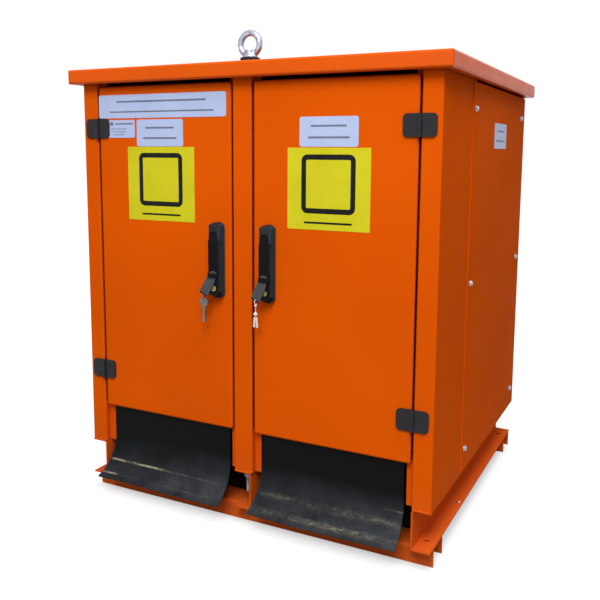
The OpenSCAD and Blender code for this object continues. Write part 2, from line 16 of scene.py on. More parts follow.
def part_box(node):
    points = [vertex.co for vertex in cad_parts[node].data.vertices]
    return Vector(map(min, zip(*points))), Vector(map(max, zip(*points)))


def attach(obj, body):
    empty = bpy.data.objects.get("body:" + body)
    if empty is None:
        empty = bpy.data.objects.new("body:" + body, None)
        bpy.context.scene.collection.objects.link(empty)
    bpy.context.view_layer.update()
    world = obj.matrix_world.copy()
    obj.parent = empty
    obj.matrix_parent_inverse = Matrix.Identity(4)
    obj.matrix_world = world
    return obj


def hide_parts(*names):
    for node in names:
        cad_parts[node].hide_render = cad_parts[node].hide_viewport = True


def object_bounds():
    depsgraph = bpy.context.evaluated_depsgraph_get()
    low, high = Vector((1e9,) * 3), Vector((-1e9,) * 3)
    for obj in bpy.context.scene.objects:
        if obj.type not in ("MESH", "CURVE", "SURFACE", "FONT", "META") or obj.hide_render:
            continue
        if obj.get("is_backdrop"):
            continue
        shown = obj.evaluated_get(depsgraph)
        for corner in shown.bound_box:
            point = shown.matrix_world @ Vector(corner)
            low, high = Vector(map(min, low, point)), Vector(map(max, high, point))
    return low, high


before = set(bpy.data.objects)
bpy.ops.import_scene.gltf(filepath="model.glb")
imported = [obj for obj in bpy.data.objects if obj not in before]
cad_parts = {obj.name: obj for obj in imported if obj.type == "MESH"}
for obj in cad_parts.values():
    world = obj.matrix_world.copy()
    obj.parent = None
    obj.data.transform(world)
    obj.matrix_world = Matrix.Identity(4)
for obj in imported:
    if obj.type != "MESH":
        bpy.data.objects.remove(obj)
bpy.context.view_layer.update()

MM = 0.001

# %% [markdown]
# Almost everything that we add sits on one of three faces: the doors' front,
# the side panels and the rear panel. Asking the frame for their places means
# that a label stays on its door if the door is moved.

# %% Faces that carry the small pieces
FRONT_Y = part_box("left_door")[0].y
SIDE_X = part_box("right_side_panel")[1].x
REAR_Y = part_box("rear_panel")[1].y
PANEL_FRONT_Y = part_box("right_side_panel")[0].y
BEAM_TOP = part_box("right_base_beam")[1].z
print("door face y", round(FRONT_Y, 4), "panel x", round(SIDE_X, 4))

# %% [markdown]
# The camera stands to the right of the doors at about a standing person's
# chest, a little turned and tipped down. A 45 mm lens on a 36 mm sensor gives
# the mild perspective of the picture. The small vertical shift keeps the
# cabinet in the frame without tipping the camera further, which would make
# the posts lean.

# %% Camera
LENS_MM = 45.0
SENSOR_MM = 36.0
CAMERA_SHIFT = (-0.001, -0.0782)
CAMERA_YAW = math.radians(26.76)
CAMERA_PITCH = math.radians(7.58)
CAMERA_ROLL = math.radians(0.37)
CAMERA_X = 1.018
CAMERA_DISTANCE = 1.678
CAMERA_HEIGHT = 1.020

camera = bpy.data.objects.new("camera", bpy.data.cameras.new("camera"))
bpy.context.scene.collection.objects.link(camera)
camera.data.lens = LENS_MM
camera.data.sensor_width = SENSOR_MM
camera.data.shift_x, camera.data.shift_y = CAMERA_SHIFT
camera.matrix_world = (
    Matrix.Translation((CAMERA_X, FRONT_Y - CAMERA_DISTANCE, CAMERA_HEIGHT))
    @ Matrix.Rotation(CAMERA_YAW, 4, "Z")
    @ Matrix.Rotation(math.pi / 2 - CAMERA_PITCH, 4, "X")
    @ Matrix.Rotation(CAMERA_ROLL, 4, "Z")
)
bpy.context.scene.camera = camera
print("camera at", [round(x, 3) for x in camera.matrix_world.translation])

# %% [markdown]
# A studio light for painted sheet steel wants to be large and soft, so that
# the flat sheets stay even and only the folds catch a line of light. The main
# softbox stands in front and a little to the right: it lights the doors fully
# and only grazes the right side, so that side falls into shade but the front
# edges of its panel still shine. A second one hangs overhead on the right,
# which lifts the skid's upper faces. A small one makes the glints on corners.

# %% Lamps
AIM = Vector((0, 0, 0.6))


def softbox(name, place, width, height, watts):
    """An area lamp of that size in metres, turned towards the cabinet."""
    lamp = bpy.data.lights.new(name, "AREA")
    lamp.shape = "RECTANGLE"
    lamp.size, lamp.size_y = width, height
    lamp.energy = watts
    holder = bpy.data.objects.new(name, lamp)
    bpy.context.scene.collection.objects.link(holder)
    holder.location = place
    holder.rotation_euler = (AIM - Vector(place)).to_track_quat("-Z", "Y").to_euler()
    print(name, "at", place, "with", watts, "watts")


softbox("main_softbox", (1.1, -3.2, 3.8), 2.0, 1.8, 138)
softbox("overhead_softbox", (1.4, -0.9, 4.0), 2.4, 2.4, 54)
softbox("glint_softbox", (-0.5, -4.6, 2.3), 0.35, 0.35, 14)

# %% [markdown]
# The world gives the rest of the light, evenly from all round. Rays that the
# camera sends straight past the cabinet, and those mirrored in metal, see a
# plain white instead, so the backdrop is white without lighting the paint any
# more than the lamps do.

# %% World
WORLD_LIGHT = 0.31

world = bpy.data.worlds.new("studio")
world.use_nodes = True
bpy.context.scene.world = world
sky = world.node_tree
sky.nodes.clear()


def white_for_seen_rays(tree):
    """A socket that is 1 for camera, glossy and transmission rays, else 0."""
    path = tree.nodes.new("ShaderNodeLightPath")
    total = path.outputs["Is Camera Ray"]
    for kind in ("Is Glossy Ray", "Is Transmission Ray"):
        larger = tree.nodes.new("ShaderNodeMath")
        larger.operation = "MAXIMUM"
        tree.links.new(total, larger.inputs[0])
        tree.links.new(path.outputs[kind], larger.inputs[1])
        total = larger.outputs[0]
    return total


level = sky.nodes.new("ShaderNodeMapRange")
level.inputs["To Min"].default_value = WORLD_LIGHT
level.inputs["To Max"].default_value = 1.0
sky.links.new(white_for_seen_rays(sky), level.inputs["Value"])
background = sky.nodes.new("ShaderNodeBackground")
background.inputs["Color"].default_value = (1, 1, 1, 1)
sky.links.new(level.outputs["Result"], background.inputs["Strength"])
world_out = sky.nodes.new("ShaderNodeOutputWorld")
sky.links.new(background.outputs[0], world_out.inputs["Surface"])
bpy.context.scene.view_settings.view_transform = "Standard"
print("world light", WORLD_LIGHT)

# %% [markdown]
# The floor is one large pale sheet of grey paper. It keeps the cabinet's
# shadow, because its own surface is lit like everything else. A glow that only
# the seen rays find lifts the open floor to the white of the backdrop. The glow
# fades out towards the cabinet's footprint, and inside the footprint the paper's
# own grey is darkened as painted shade, so that the floor stays dark where it
# is glimpsed underneath, between the beams.

# %% Floor
FLOOR_HALF = 30.0
FLOOR_GREY = 0.34
FLOOR_UNDER_SHADE = 0.10
FLOOR_GLOW = 0.80
FOOTPRINT = (0.555, 0.475)
UNDER_FADE = -0.12
OPEN_GLOW = 0.20
OPEN_FADE = 1.3

floor_mesh = bmesh.new()
bmesh.ops.create_grid(floor_mesh, x_segments=1, y_segments=1, size=FLOOR_HALF)
floor_data = bpy.data.meshes.new("floor")
floor_mesh.to_mesh(floor_data)
floor_mesh.free()
floor = bpy.data.objects.new("floor", floor_data)
bpy.context.scene.collection.objects.link(floor)
floor_paper = bpy.data.materials.new("floor_paper")
floor_paper.use_nodes = True
paper = floor_paper.node_tree.nodes["Principled BSDF"]
paper.inputs["Base Color"].default_value = (FLOOR_GREY, FLOOR_GREY, FLOOR_GREY, 1)
paper.inputs["Roughness"].default_value = 0.9
paper.inputs["Specular IOR Level"].default_value = 0.0
paper.inputs["Emission Color"].default_value = (1, 1, 1, 1)


def floor_math(operation, first, second=0.0):
    """One step of arithmetic in the floor's material."""
    node = floor_paper.node_tree.nodes.new("ShaderNodeMath")
    node.operation = operation
    for socket, value in enumerate((first, second)):
        if isinstance(value, bpy.types.NodeSocket):
            floor_paper.node_tree.links.new(value, node.inputs[socket])
        else:
            node.inputs[socket].default_value = value
    return node.outputs[0]


floor_place = floor_paper.node_tree.nodes.new("ShaderNodeTexCoord")
floor_parts = floor_paper.node_tree.nodes.new("ShaderNodeSeparateXYZ")
floor_paper.node_tree.links.new(floor_place.outputs["Object"], floor_parts.inputs[0])
outside = [
    floor_math("SUBTRACT", floor_math("ABSOLUTE", floor_parts.outputs[axis]), half)
    for axis, half in enumerate(FOOTPRINT)
]
away = floor_math("MAXIMUM", outside[0], outside[1])
glow = floor_paper.node_tree.nodes.new("ShaderNodeMapRange")
glow.interpolation_type = "SMOOTHSTEP"
glow.inputs["From Min"].default_value = UNDER_FADE
glow.inputs["From Max"].default_value = 0.0
glow.inputs["To Max"].default_value = FLOOR_GLOW
floor_paper.node_tree.links.new(away, glow.inputs["Value"])
# Inside the footprint the paper's grey is darkened: painted shade under the cabinet.
shade = floor_paper.node_tree.nodes.new("ShaderNodeMapRange")
shade.inputs["From Min"].default_value = UNDER_FADE
shade.inputs["From Max"].default_value = 0.0
shade.inputs["To Min"].default_value = FLOOR_UNDER_SHADE
shade.inputs["To Max"].default_value = FLOOR_GREY
floor_paper.node_tree.links.new(away, shade.inputs["Value"])
floor_paper.node_tree.links.new(shade.outputs["Result"], paper.inputs["Base Color"])
open_glow = floor_paper.node_tree.nodes.new("ShaderNodeMapRange")
open_glow.interpolation_type = "SMOOTHSTEP"
open_glow.inputs["From Max"].default_value = OPEN_FADE
open_glow.inputs["To Max"].default_value = OPEN_GLOW
floor_paper.node_tree.links.new(away, open_glow.inputs["Value"])
both_glows = floor_math("ADD", glow.outputs["Result"], open_glow.outputs["Result"])
strength = floor_math("MULTIPLY", both_glows, white_for_seen_rays(floor_paper.node_tree))
floor_paper.node_tree.links.new(strength, paper.inputs["Emission Strength"])
floor_data.materials.append(floor_paper)
floor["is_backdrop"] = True

# %% [markdown]
# Every finish is a node material. A small class keeps that short: it makes the
# material, adds nodes, sets their sockets and links a socket where it is given
# another node's output. Patterns read the Object coordinates, which are metres
# here, so a noise of scale 100 has grains of about a centimetre.

# %% A class for finishes


class Finish:
    """A material with one Principled shader."""

    def __init__(self, name, **sockets):
        self.material = bpy.data.materials.new(name)
        self.material.use_nodes = True
        self.tree = self.material.node_tree
        self.shader = self.tree.nodes["Principled BSDF"]
        space = self.add("ShaderNodeTexCoord")
        self.place, self.facing = space.outputs["Object"], space.outputs["Normal"]
        for socket, value in sockets.items():
            self.shader.inputs[socket.replace("_", " ")].default_value = value

    def add(self, kind, inputs=None, **settings):
        """Adds a node, and sets or links the named inputs."""
        node = self.tree.nodes.new(kind)
        for key, value in settings.items():
            setattr(node, key, value)
        for key, value in (inputs or {}).items():
            if isinstance(value, bpy.types.NodeSocket):
                self.tree.links.new(value, node.inputs[key])
            else:
                node.inputs[key].default_value = value
        return node

    def noise(self, scale, detail=3.0, rough=0.5, stretch=(1, 1, 1), turn=(0, 0, 0)):
        """Noise of that scale in the piece's own space, from 0 to 1."""
        mapped = self.add(
            "ShaderNodeMapping",
            {"Vector": self.place, "Scale": stretch, "Rotation": turn},
        )
        texture = self.add(
            "ShaderNodeTexNoise",
            {
                "Vector": mapped.outputs[0],
                "Scale": scale,
                "Detail": detail,
                "Roughness": rough,
            },
        )
        return texture.outputs["Fac"]

    def ramp(self, value, stops):
        """Colours at places from 0 to 1, blended in between."""
        node = self.add("ShaderNodeValToRGB", {"Fac": value})
        elements = node.color_ramp.elements
        while len(elements) < len(stops):
            elements.new(1.0)
        for element, (place, colour) in zip(elements, stops):
            element.position = place
            element.color = (*colour, 1)
        return node.outputs["Color"]

    def span(self, value, low, high, source=(0.0, 1.0)):
        """A value mapped from one span to another, and kept inside it."""
        node = self.add(
            "ShaderNodeMapRange",
            {
                "Value": value,
                "From Min": source[0],
                "From Max": source[1],
                "To Min": low,
                "To Max": high,
            },
        )
        return node.outputs["Result"]

    def blend(self, share, first, second):
        """One colour over another, by a share from 0 to 1."""
        node = self.add("ShaderNodeMix", data_type="RGBA")
        for socket, value in ((0, share), (6, first), (7, second)):
            if isinstance(value, bpy.types.NodeSocket):
                self.tree.links.new(value, node.inputs[socket])
            elif socket == 0:
                node.inputs[socket].default_value = value
            else:
                node.inputs[socket].default_value = (*value, 1)
        return node.outputs[2]

    def sum(self, first, second, operation="ADD"):
        """Two values put together by one operation."""
        node = self.add("ShaderNodeMath", {0: first, 1: second}, operation=operation)
        return node.outputs[0]

    def set(self, socket, value):
        """Links an output to one of the shader's sockets."""
        self.tree.links.new(value, self.shader.inputs[socket])

    def bump(self, height, distance, strength=1.0):
        """Raises the surface by that height, with its distance in metres."""
        node = self.add(
            "ShaderNodeBump",
            {"Height": height, "Distance": distance, "Strength": strength},
        )
        self.set("Normal", node.outputs["Normal"])


# %% [markdown]
# Powder coat is thick and slightly dimpled, like the skin of an orange, and
# its gloss varies a little from sheet to sheet. The colour itself is nearly
# even, so it only drifts by a few per cent in large soft patches. Near the
# ground a thin film of dust takes some of the brightness away. In the narrow
# seams between the sheets the coat is painted nearly black where other faces
# stand within a few millimetres: this is painted shade. The roof gets the same
# coat with a clear gloss, because it shows sharper reflections.

# %% Orange powder coat
ORANGE = (0.80, 0.108, 0.002)
ORANGE_DEEP = (0.72, 0.092, 0.002)
DUST = (0.36, 0.20, 0.11)
SEAM_SHADE = (0.050, 0.011, 0.003)
SEAM_REACH = 0.016
# Black painted shade for the gap between the doors' tops and the roof, and the height where it starts.
RAIL_GAP_SHADE = (0.006, 0.005, 0.005)
GAP_SHADE_LOW_Z = 1204 * MM


def powder_coat(name, roughness, specular, coat, gap_shaded=False):
    """Orange paint with dimples, dust low down, painted shade in the seams and, when asked, a black front as painted
    shade in the gap under the roof.
    """
    paint = Finish(name, Coat_Weight=coat, Coat_Roughness=0.12)
    paint.shader.inputs["Specular IOR Level"].default_value = specular
    patches = paint.noise(2.2, detail=2)
    colour = paint.ramp(patches, [(0.3, ORANGE_DEEP), (0.7, ORANGE)])
    height = paint.add("ShaderNodeSeparateXYZ", {"Vector": paint.place}).outputs["Z"]
    low_down = paint.span(height, 0.30, 0.0, source=(0.0, 0.22))
    film = paint.sum(low_down, paint.noise(38, detail=6, rough=0.65), "MULTIPLY")
    dusted = paint.blend(film, colour, DUST)
    # Painted shade: the coat turns nearly black in the seams, by how closed in the surface is.
    open_share = paint.add(
        "ShaderNodeAmbientOcclusion", {"Distance": SEAM_REACH}, samples=8
    ).outputs["AO"]
    colour = paint.blend(paint.span(open_share, 0, 1, (0.18, 0.52)), SEAM_SHADE, dusted)
    # Painted shade: front faces above the doors' tops turn black, for the shade in the gap under the roof.
    if gap_shaded:
        forward = paint.add("ShaderNodeSeparateXYZ", {"Vector": paint.facing}).outputs["Y"]
        facing_doors = paint.span(forward, 1, 0, (-0.9, -0.5))
        above = paint.span(height, 0, 1, (GAP_SHADE_LOW_Z, GAP_SHADE_LOW_Z + MM))
        colour = paint.blend(paint.sum(facing_doors, above, "MULTIPLY"), colour, RAIL_GAP_SHADE)
    paint.set("Base Color", colour)
    gloss = paint.noise(9, detail=4)
    paint.set("Roughness", paint.span(gloss, roughness - 0.05, roughness + 0.06, (0.3, 0.7)))
    paint.bump(paint.noise(420, detail=2), 0.00012, 0.35)
    return paint.material


body_paint = powder_coat("orange_powder_coat", 0.5, 0.0015, 0.0)
# The top rail carries the painted shade of the gap above the doors.
rail_paint = powder_coat("rail_coat_gap_shade", 0.5, 0.0015, 0.0, gap_shaded=True)
roof_paint = powder_coat("orange_gloss_coat", 0.34, 0.09, 0.03)

# %% [markdown]
# The black pieces differ mostly in their gloss. The hinges are cast and
# powder coated with a fine grain. The handles are moulded nylon: deep black
# and smooth on the lever, greyer on the housing, with the brushed look that
# fingers leave. Their flanks are matt, and a bluer grey is painted on them by
# the way they face: a painted reflection.

# %% Black coats and plastics


def grained(name, dark, light, scale, roughness, depth, stretch=(1, 1, 1), specular=0.16, flank_reflections=()):
    """A dark surface with a fine grain, and a painted reflection colour on the flanks by the way they face."""
    finish = Finish(name)
    finish.shader.inputs["Specular IOR Level"].default_value = specular
    grain = finish.noise(scale, detail=4, rough=0.6, stretch=stretch)
    wear = finish.noise(28, detail=5, rough=0.6)
    share = finish.span(finish.sum(grain, wear, "MULTIPLY"), 0.0, 1.0, (0.12, 0.42))
    colour = finish.blend(share, dark, light)
    # Painted reflection: faces turned sideways blend towards a bluer colour.
    for flank_reflection, span in flank_reflections:
        sideways = finish.add("ShaderNodeSeparateXYZ", {"Vector": finish.facing}).outputs["X"]
        turned = finish.span(finish.sum(sideways, sideways, "MULTIPLY"), 0, 1, span)
        colour = finish.blend(turned, colour, flank_reflection)
    finish.set("Base Color", colour)
    finish.set("Roughness", finish.span(wear, roughness - 0.08, roughness + 0.1, (0.3, 0.7)))
    finish.bump(grain, depth, 0.5)
    return finish.material


hinge_coat = grained("hinge_coat", (0.016, 0.016, 0.018), (0.024, 0.024, 0.027), 900, 0.5, 0.0001)
lever_nylon = grained(
    "lever_nylon", (0.004, 0.004, 0.005), (0.011, 0.011, 0.012), 600, 0.38, 0.00004,
    specular=0.05, flank_reflections=[((0.022, 0.048, 0.060), (0.6, 0.9))],
)
housing_nylon = grained(
    "housing_nylon", (0.015, 0.016, 0.018), (0.032, 0.035, 0.038), 500, 0.5, 0.00005,
    specular=0.04,
    flank_reflections=[((0.036, 0.044, 0.074), (0.15, 0.4)), ((0.024, 0.052, 0.066), (0.6, 0.9))],
)
soft_seal = grained("soft_seal", (0.012, 0.012, 0.013), (0.03, 0.03, 0.031), 700, 0.62, 0.0001)

# %% [markdown]
# The lifting eyes are forged and zinc plated: bright, bluish and a little
# cloudy, with the soft texture of the scale that was under the zinc. Bolts
# have the same plating on a turned surface. The lock insert is brass that has
# gone dull, and the key is worn nickel with fine scratches along it.

# %% Metals


def plated(name, dark, light, scale, roughness, depth, stretch=(1, 1, 1)):
    """A metal with cloudy plating and fine unevenness."""
    metal = Finish(name, Metallic=1.0)
    cloud = metal.noise(scale, detail=5, rough=0.62, stretch=stretch)
    metal.set("Base Color", metal.ramp(cloud, [(0.32, dark), (0.68, light)]))
    metal.set("Roughness", metal.span(cloud, roughness + 0.12, roughness, (0.35, 0.65)))
    metal.bump(metal.noise(scale * 3, detail=3, stretch=stretch), depth, 0.6)
    return metal.material


eye_zinc = plated("eye_zinc", (0.24, 0.27, 0.35), (0.56, 0.60, 0.72), 95, 0.26, 0.0004)
bolt_zinc = plated("bolt_zinc", (0.20, 0.23, 0.30), (0.52, 0.56, 0.66), 240, 0.28, 0.0001)
# A darker copy of the bolts' zinc for the stud under the beam: painted shade, since the stud hangs in the beam's
# shadow.
zinc_painted_shade = plated("zinc_painted_shade", (0.10, 0.11, 0.13), (0.28, 0.29, 0.33), 240, 0.34, 0.0001)
dull_brass = plated("dull_brass", (0.10, 0.06, 0.02), (0.50, 0.36, 0.15), 300, 0.30, 0.0001)
worn_nickel = plated(
    "worn_nickel", (0.06, 0.052, 0.044), (0.24, 0.22, 0.19), 420, 0.30, 0.00008, (1, 1, 0.12)
)

# %% [markdown]
# Labels are printed on a thin plastic film. White plastic under daylight looks
# slightly blue beside so much orange. The film is smooth, with a faint
# waviness where it follows the dimpled paint.

# %% Plastic films


def film(name, dark, light, roughness, specular=0.3):
    """A printed plastic film, nearly even in colour."""
    plastic = Finish(name)
    plastic.shader.inputs["Specular IOR Level"].default_value = specular
    haze = plastic.noise(14, detail=4, rough=0.6)
    plastic.set("Base Color", plastic.ramp(haze, [(0.3, dark), (0.7, light)]))
    plastic.set("Roughness", plastic.span(haze, roughness, roughness + 0.1, (0.3, 0.7)))
    plastic.bump(plastic.noise(160, detail=2), 0.00008, 0.3)
    return plastic.material


white_film = film("white_film", (0.44, 0.53, 0.79), (0.50, 0.59, 0.85), 0.38)
yellow_film = film("yellow_film", (0.62, 0.57, 0.012), (0.70, 0.64, 0.018), 0.4, 0.12)
black_print = film("black_print", (0.006, 0.006, 0.006), (0.012, 0.012, 0.011), 0.35, 0.1)
grey_print = film("grey_print", (0.13, 0.15, 0.24), (0.18, 0.20, 0.30), 0.45)
tag_film = film("tag_film", (0.66, 0.64, 0.62), (0.84, 0.83, 0.82), 0.45)

# %% [markdown]
# Each lock cover's lower end is painted black below its grey blade: painted
# shade on the end face that turns down away from the light. The cover leans, so
# the black lip is found by the distance along the cover's own length, measured
# from the lowest point of its mesh.

# %% Grey lock covers with painted shade on the lower end
COVER_LEAN = {"left": 30, "right": 24}
LIP = 5 * MM
LIP_EDGE = 1 * MM
LIP_SHADE = (0.006, 0.006, 0.007)
COVER_GREYS = ((0.050, 0.051, 0.052), (0.105, 0.105, 0.103))


def cover_finish(node, name, lean):
    """Brushed grey nylon, painted black along the cover's lower end as painted shade."""
    nylon = Finish(name)
    nylon.shader.inputs["Specular IOR Level"].default_value = 0.16
    up_x, up_z = math.sin(lean), math.cos(lean)
    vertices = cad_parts[node].data.vertices
    lowest = min(v.co.x * up_x + v.co.z * up_z for v in vertices)
    brushed = nylon.noise(260, detail=4, rough=0.6, stretch=(6, 1, 1))
    wear = nylon.noise(28, detail=5, rough=0.6)
    share = nylon.span(nylon.sum(brushed, wear, "MULTIPLY"), 0.0, 1.0, (0.12, 0.42))
    grey = nylon.blend(share, *COVER_GREYS)
    parts = nylon.add("ShaderNodeSeparateXYZ", {"Vector": nylon.place})
    across = nylon.add("ShaderNodeMath", {0: parts.outputs["X"], 1: up_x}, operation="MULTIPLY")
    along = nylon.add("ShaderNodeMath", {0: parts.outputs["Z"], 1: up_z}, operation="MULTIPLY")
    length = nylon.sum(across.outputs[0], along.outputs[0])
    # Painted shade along the lower end.
    lip_shade = nylon.span(length, 1.0, 0.0, (lowest + LIP - LIP_EDGE, lowest + LIP))
    nylon.set("Base Color", nylon.blend(lip_shade, grey, LIP_SHADE))
    nylon.set("Roughness", nylon.span(wear, 0.42, 0.6, (0.3, 0.7)))
    nylon.bump(brushed, 0.00008, 0.5)
    return nylon.material


# %% [markdown]
# The CAD nodes keep their shape and only change their finish. Each group is
# named once here, with the finish that it takes.

# %% Dress the CAD nodes
SIDES = ("left", "right")
LEVELS = ("upper", "lower")


def dress(material, nodes):
    """Gives CAD nodes their material."""
    for name in nodes:
        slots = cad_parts[name].data.materials
        slots.clear()
        slots.append(material)
    print(material.name, "on", len(nodes), "nodes")


dress(
    body_paint,
    [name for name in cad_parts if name.endswith(("member", "beam", "post", "rail", "panel", "door"))],
)
dress(rail_paint, ["front_top_rail"])
dress(roof_paint, ["roof"])
dress(
    hinge_coat,
    [f"{side}_{level}_{part}_leaf" for side in SIDES for level in LEVELS for part in ("frame", "door")],
)
dress(housing_nylon, [f"{side}_handle_housing" for side in SIDES])
dress(lever_nylon, [f"{side}_lever" for side in SIDES])
for side, lean in COVER_LEAN.items():
    node = f"{side}_lock_cover"
    dress(cover_finish(node, f"{side}_cover_nylon", math.radians(lean)), [node])
dress(dull_brass, [f"{side}_lock_cylinder" for side in SIDES])
dress(soft_seal, ["front_eye_seal", "rear_eye_seal"])
dress(worn_nickel, ["left_key"])
dress(tag_film, ["right_seal_tag"])

# %% [markdown]
# New pieces are shaped as bmeshes. One helper turns a finished bmesh into an
# object: it makes the faces point outwards, shades the rounded parts smooth and
# the corners sharp, gives the materials and lets the piece ride on its body.

# %% Turn a bmesh into a piece
SHARP_ANGLE = math.radians(38)


def piece(name, shape, materials, body):
    """An object at the origin from a bmesh that is already in place."""
    bmesh.ops.remove_doubles(shape, verts=shape.verts, dist=1e-6)
    bmesh.ops.recalc_face_normals(shape, faces=shape.faces)
    data = bpy.data.meshes.new(name)
    shape.to_mesh(data)
    shape.free()
    data.polygons.foreach_set("use_smooth", [True] * len(data.polygons))
    data.set_sharp_from_angle(angle=SHARP_ANGLE)
    for material in materials:
        data.materials.append(material)
    thing = bpy.data.objects.new(name, data)
    bpy.context.scene.collection.objects.link(thing)
    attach(thing, body)
    print(name, "has", len(data.polygons), "faces and rides on", body)
    return thing


def merge(target, part):
    """Adds one bmesh to another through a mesh block, and frees it."""
    block = bpy.data.meshes.new("part")
    part.to_mesh(block)
    target.from_mesh(block)
    bpy.data.meshes.remove(block)
    part.free()


# %% [markdown]
# A label is a thin plate with rounded corners: one square face, stretched,
# its four corners bevelled and the face drawn out to its thickness. The plate
# is made lying in X and Z, facing the front, and turned afterwards if it
# belongs on the side. Plain printed rules stand on it, as on a blank form.

# %% Rounded plates
FILM_T = 0.6 * MM
PRINT_T = 0.15 * MM
CORNER_STEPS = 5


def rounded_plate(width, height, thickness, corner, centre=(0, 0, 0), tone=0):
    """A plate whose back is at the centre's y and whose face looks along -Y."""
    plate = bmesh.new()
    bmesh.ops.create_grid(plate, x_segments=1, y_segments=1, size=0.5)
    bmesh.ops.scale(plate, vec=(width, height, 1), verts=plate.verts)
    bmesh.ops.bevel(
        plate, geom=plate.verts, offset=corner, affect="VERTICES",
        segments=CORNER_STEPS, profile=0.5, material=-1,
    )
    bmesh.ops.rotate(plate, matrix=Matrix.Rotation(math.pi / 2, 3, "X"), verts=plate.verts)
    drawn = bmesh.ops.extrude_face_region(plate, geom=plate.faces[:])
    front = [v for v in drawn["geom"] if isinstance(v, bmesh.types.BMVert)]
    bmesh.ops.translate(plate, vec=(0, -thickness, 0), verts=front)
    bmesh.ops.translate(plate, vec=centre, verts=plate.verts)
    for face in plate.faces:
        face.material_index = tone
    return plate


def rule_lines(plate, rules):
    """Adds printed bars, each as (x, z, width, height), on the plate's face."""
    for x, z, width, height in rules:
        bar = rounded_plate(width, height, PRINT_T, height / 3, (x, -FILM_T, z), tone=1)
        merge(plate, bar)


def label(name, body, x0, x1, z0, z1, materials, rules=(), corner=6 * MM):
    """A label on a door, from the edges of its place on the door's face."""
    width, height = (x1 - x0) * MM, (z1 - z0) * MM
    plate = rounded_plate(width, height, FILM_T, corner)
    rule_lines(plate, [[value * MM for value in rule] for rule in rules])
    middle = Vector(((x0 + x1) / 2 * MM, FRONT_Y, (z0 + z1) / 2 * MM))
    bmesh.ops.translate(plate, vec=middle, verts=plate.verts)
    return piece(name, plate, materials, body)


# %% White labels on the doors
white_and_grey = [white_film, grey_print]
label(
    "long_label", "left_door_body", -473, -47, 1114, 1178.5, white_and_grey,
    [(0, 13, 300, 5), (0, -15, 350, 4)],
)
label(
    "small_label", "left_door_body", -441, -347, 1060, 1109, white_and_grey,
    [(-34, 14, 10, 10), (10, 14, 64, 4), (-10, 0, 54, 2), (-10, -8, 54, 2), (-10, -16, 36, 2)],
    corner=3 * MM,
)
for name, body, x0, x1 in (
    ("left_circuit_label", "left_door_body", -340, -184),
    ("right_circuit_label", "right_door_body", 167, 325),
):
    label(name, body, x0, x1, 1036, 1109.5, white_and_grey, [(0, 14, 96, 5), (0, -14, 112, 5)])

# %% [markdown]
# Under each white label sits a larger yellow one. A plain rounded frame in
# black gives it weight on the door, with one ruled line below it. The
# frame is a plate whose front face is inset, with the inner face taken out
# before it gets its thickness.

# %% Yellow labels
FRAME_SIDE = 146 * MM
FRAME_BAR = 13 * MM
FRAME_CORNER = 16 * MM


def print_frame(side, bar, corner, centre):
    """A printed square ring on a label's face."""
    ring = bmesh.new()
    bmesh.ops.create_grid(ring, x_segments=1, y_segments=1, size=side / 2)
    bmesh.ops.bevel(
        ring, geom=ring.verts, offset=corner, affect="VERTICES",
        segments=CORNER_STEPS, profile=0.5, material=-1,
    )
    inner = ring.faces[:]
    bmesh.ops.inset_region(ring, faces=inner, thickness=bar, use_boundary=True, use_even_offset=True)
    bmesh.ops.delete(ring, geom=inner, context="FACES_ONLY")
    bmesh.ops.rotate(ring, matrix=Matrix.Rotation(math.pi / 2, 3, "X"), verts=ring.verts)
    drawn = bmesh.ops.extrude_face_region(ring, geom=ring.faces[:])
    front = [v for v in drawn["geom"] if isinstance(v, bmesh.types.BMVert)]
    bmesh.ops.translate(ring, vec=(0, -PRINT_T, 0), verts=front)
    bmesh.ops.translate(ring, vec=centre, verts=ring.verts)
    for face in ring.faces:
        face.material_index = 1
    return ring


def yellow_label(name, body, x0, x1, z0, z1):
    """A yellow square with a plain black frame."""
    plate = rounded_plate((x1 - x0) * MM, (z1 - z0) * MM, FILM_T, 2 * MM)
    merge(plate, print_frame(FRAME_SIDE, FRAME_BAR, FRAME_CORNER, (0, -FILM_T, 12 * MM)))
    rule_lines(plate, [(0, -84 * MM, 130 * MM, 5 * MM)])
    middle = Vector(((x0 + x1) / 2 * MM, FRONT_Y, (z0 + z1) / 2 * MM))
    bmesh.ops.translate(plate, vec=middle, verts=plate.verts)
    piece(name, plate, [yellow_film, black_print], body)


yellow_label("left_yellow_label", "left_door_body", -373, -149, 832, 1035)
yellow_label("right_yellow_label", "right_door_body", 134, 358, 831, 1034)

# %% Label on the right side panel
SIDE_LABEL_Y = (513, 670)
SIDE_LABEL_Z = (1037, 1110)

side_plate = rounded_plate(
    (SIDE_LABEL_Y[1] - SIDE_LABEL_Y[0]) * MM, (SIDE_LABEL_Z[1] - SIDE_LABEL_Z[0]) * MM, FILM_T, 6 * MM
)
rule_lines(side_plate, [(0, 14 * MM, 96 * MM, 5 * MM), (0, -14 * MM, 112 * MM, 5 * MM)])
bmesh.ops.rotate(side_plate, matrix=Matrix.Rotation(math.pi / 2, 3, "Z"), verts=side_plate.verts)
side_middle = Vector((
    SIDE_X,
    FRONT_Y + sum(SIDE_LABEL_Y) / 2 * MM,
    sum(SIDE_LABEL_Z) / 2 * MM,
))
bmesh.ops.translate(side_plate, vec=side_middle, verts=side_plate.verts)
piece("side_label", side_plate, white_and_grey, "cabinet")

# %% [markdown]
# The side and rear panels are held by zinc plated hexagon bolts. A bolt head
# is a six sided prism with its outer corners chamfered, on a round washer. It
# is made pointing upwards, then turned outwards and moved to its place, once
# for each place, and each panel's set is joined in one mesh.

# %% Hexagon bolts
BOLT_FLATS = 11 * MM
BOLT_HEAD = 4.6 * MM
WASHER_D = 17 * MM
WASHER_T = 1.6 * MM
BOLT_Z = (219 * MM, 679 * MM, 1138 * MM)


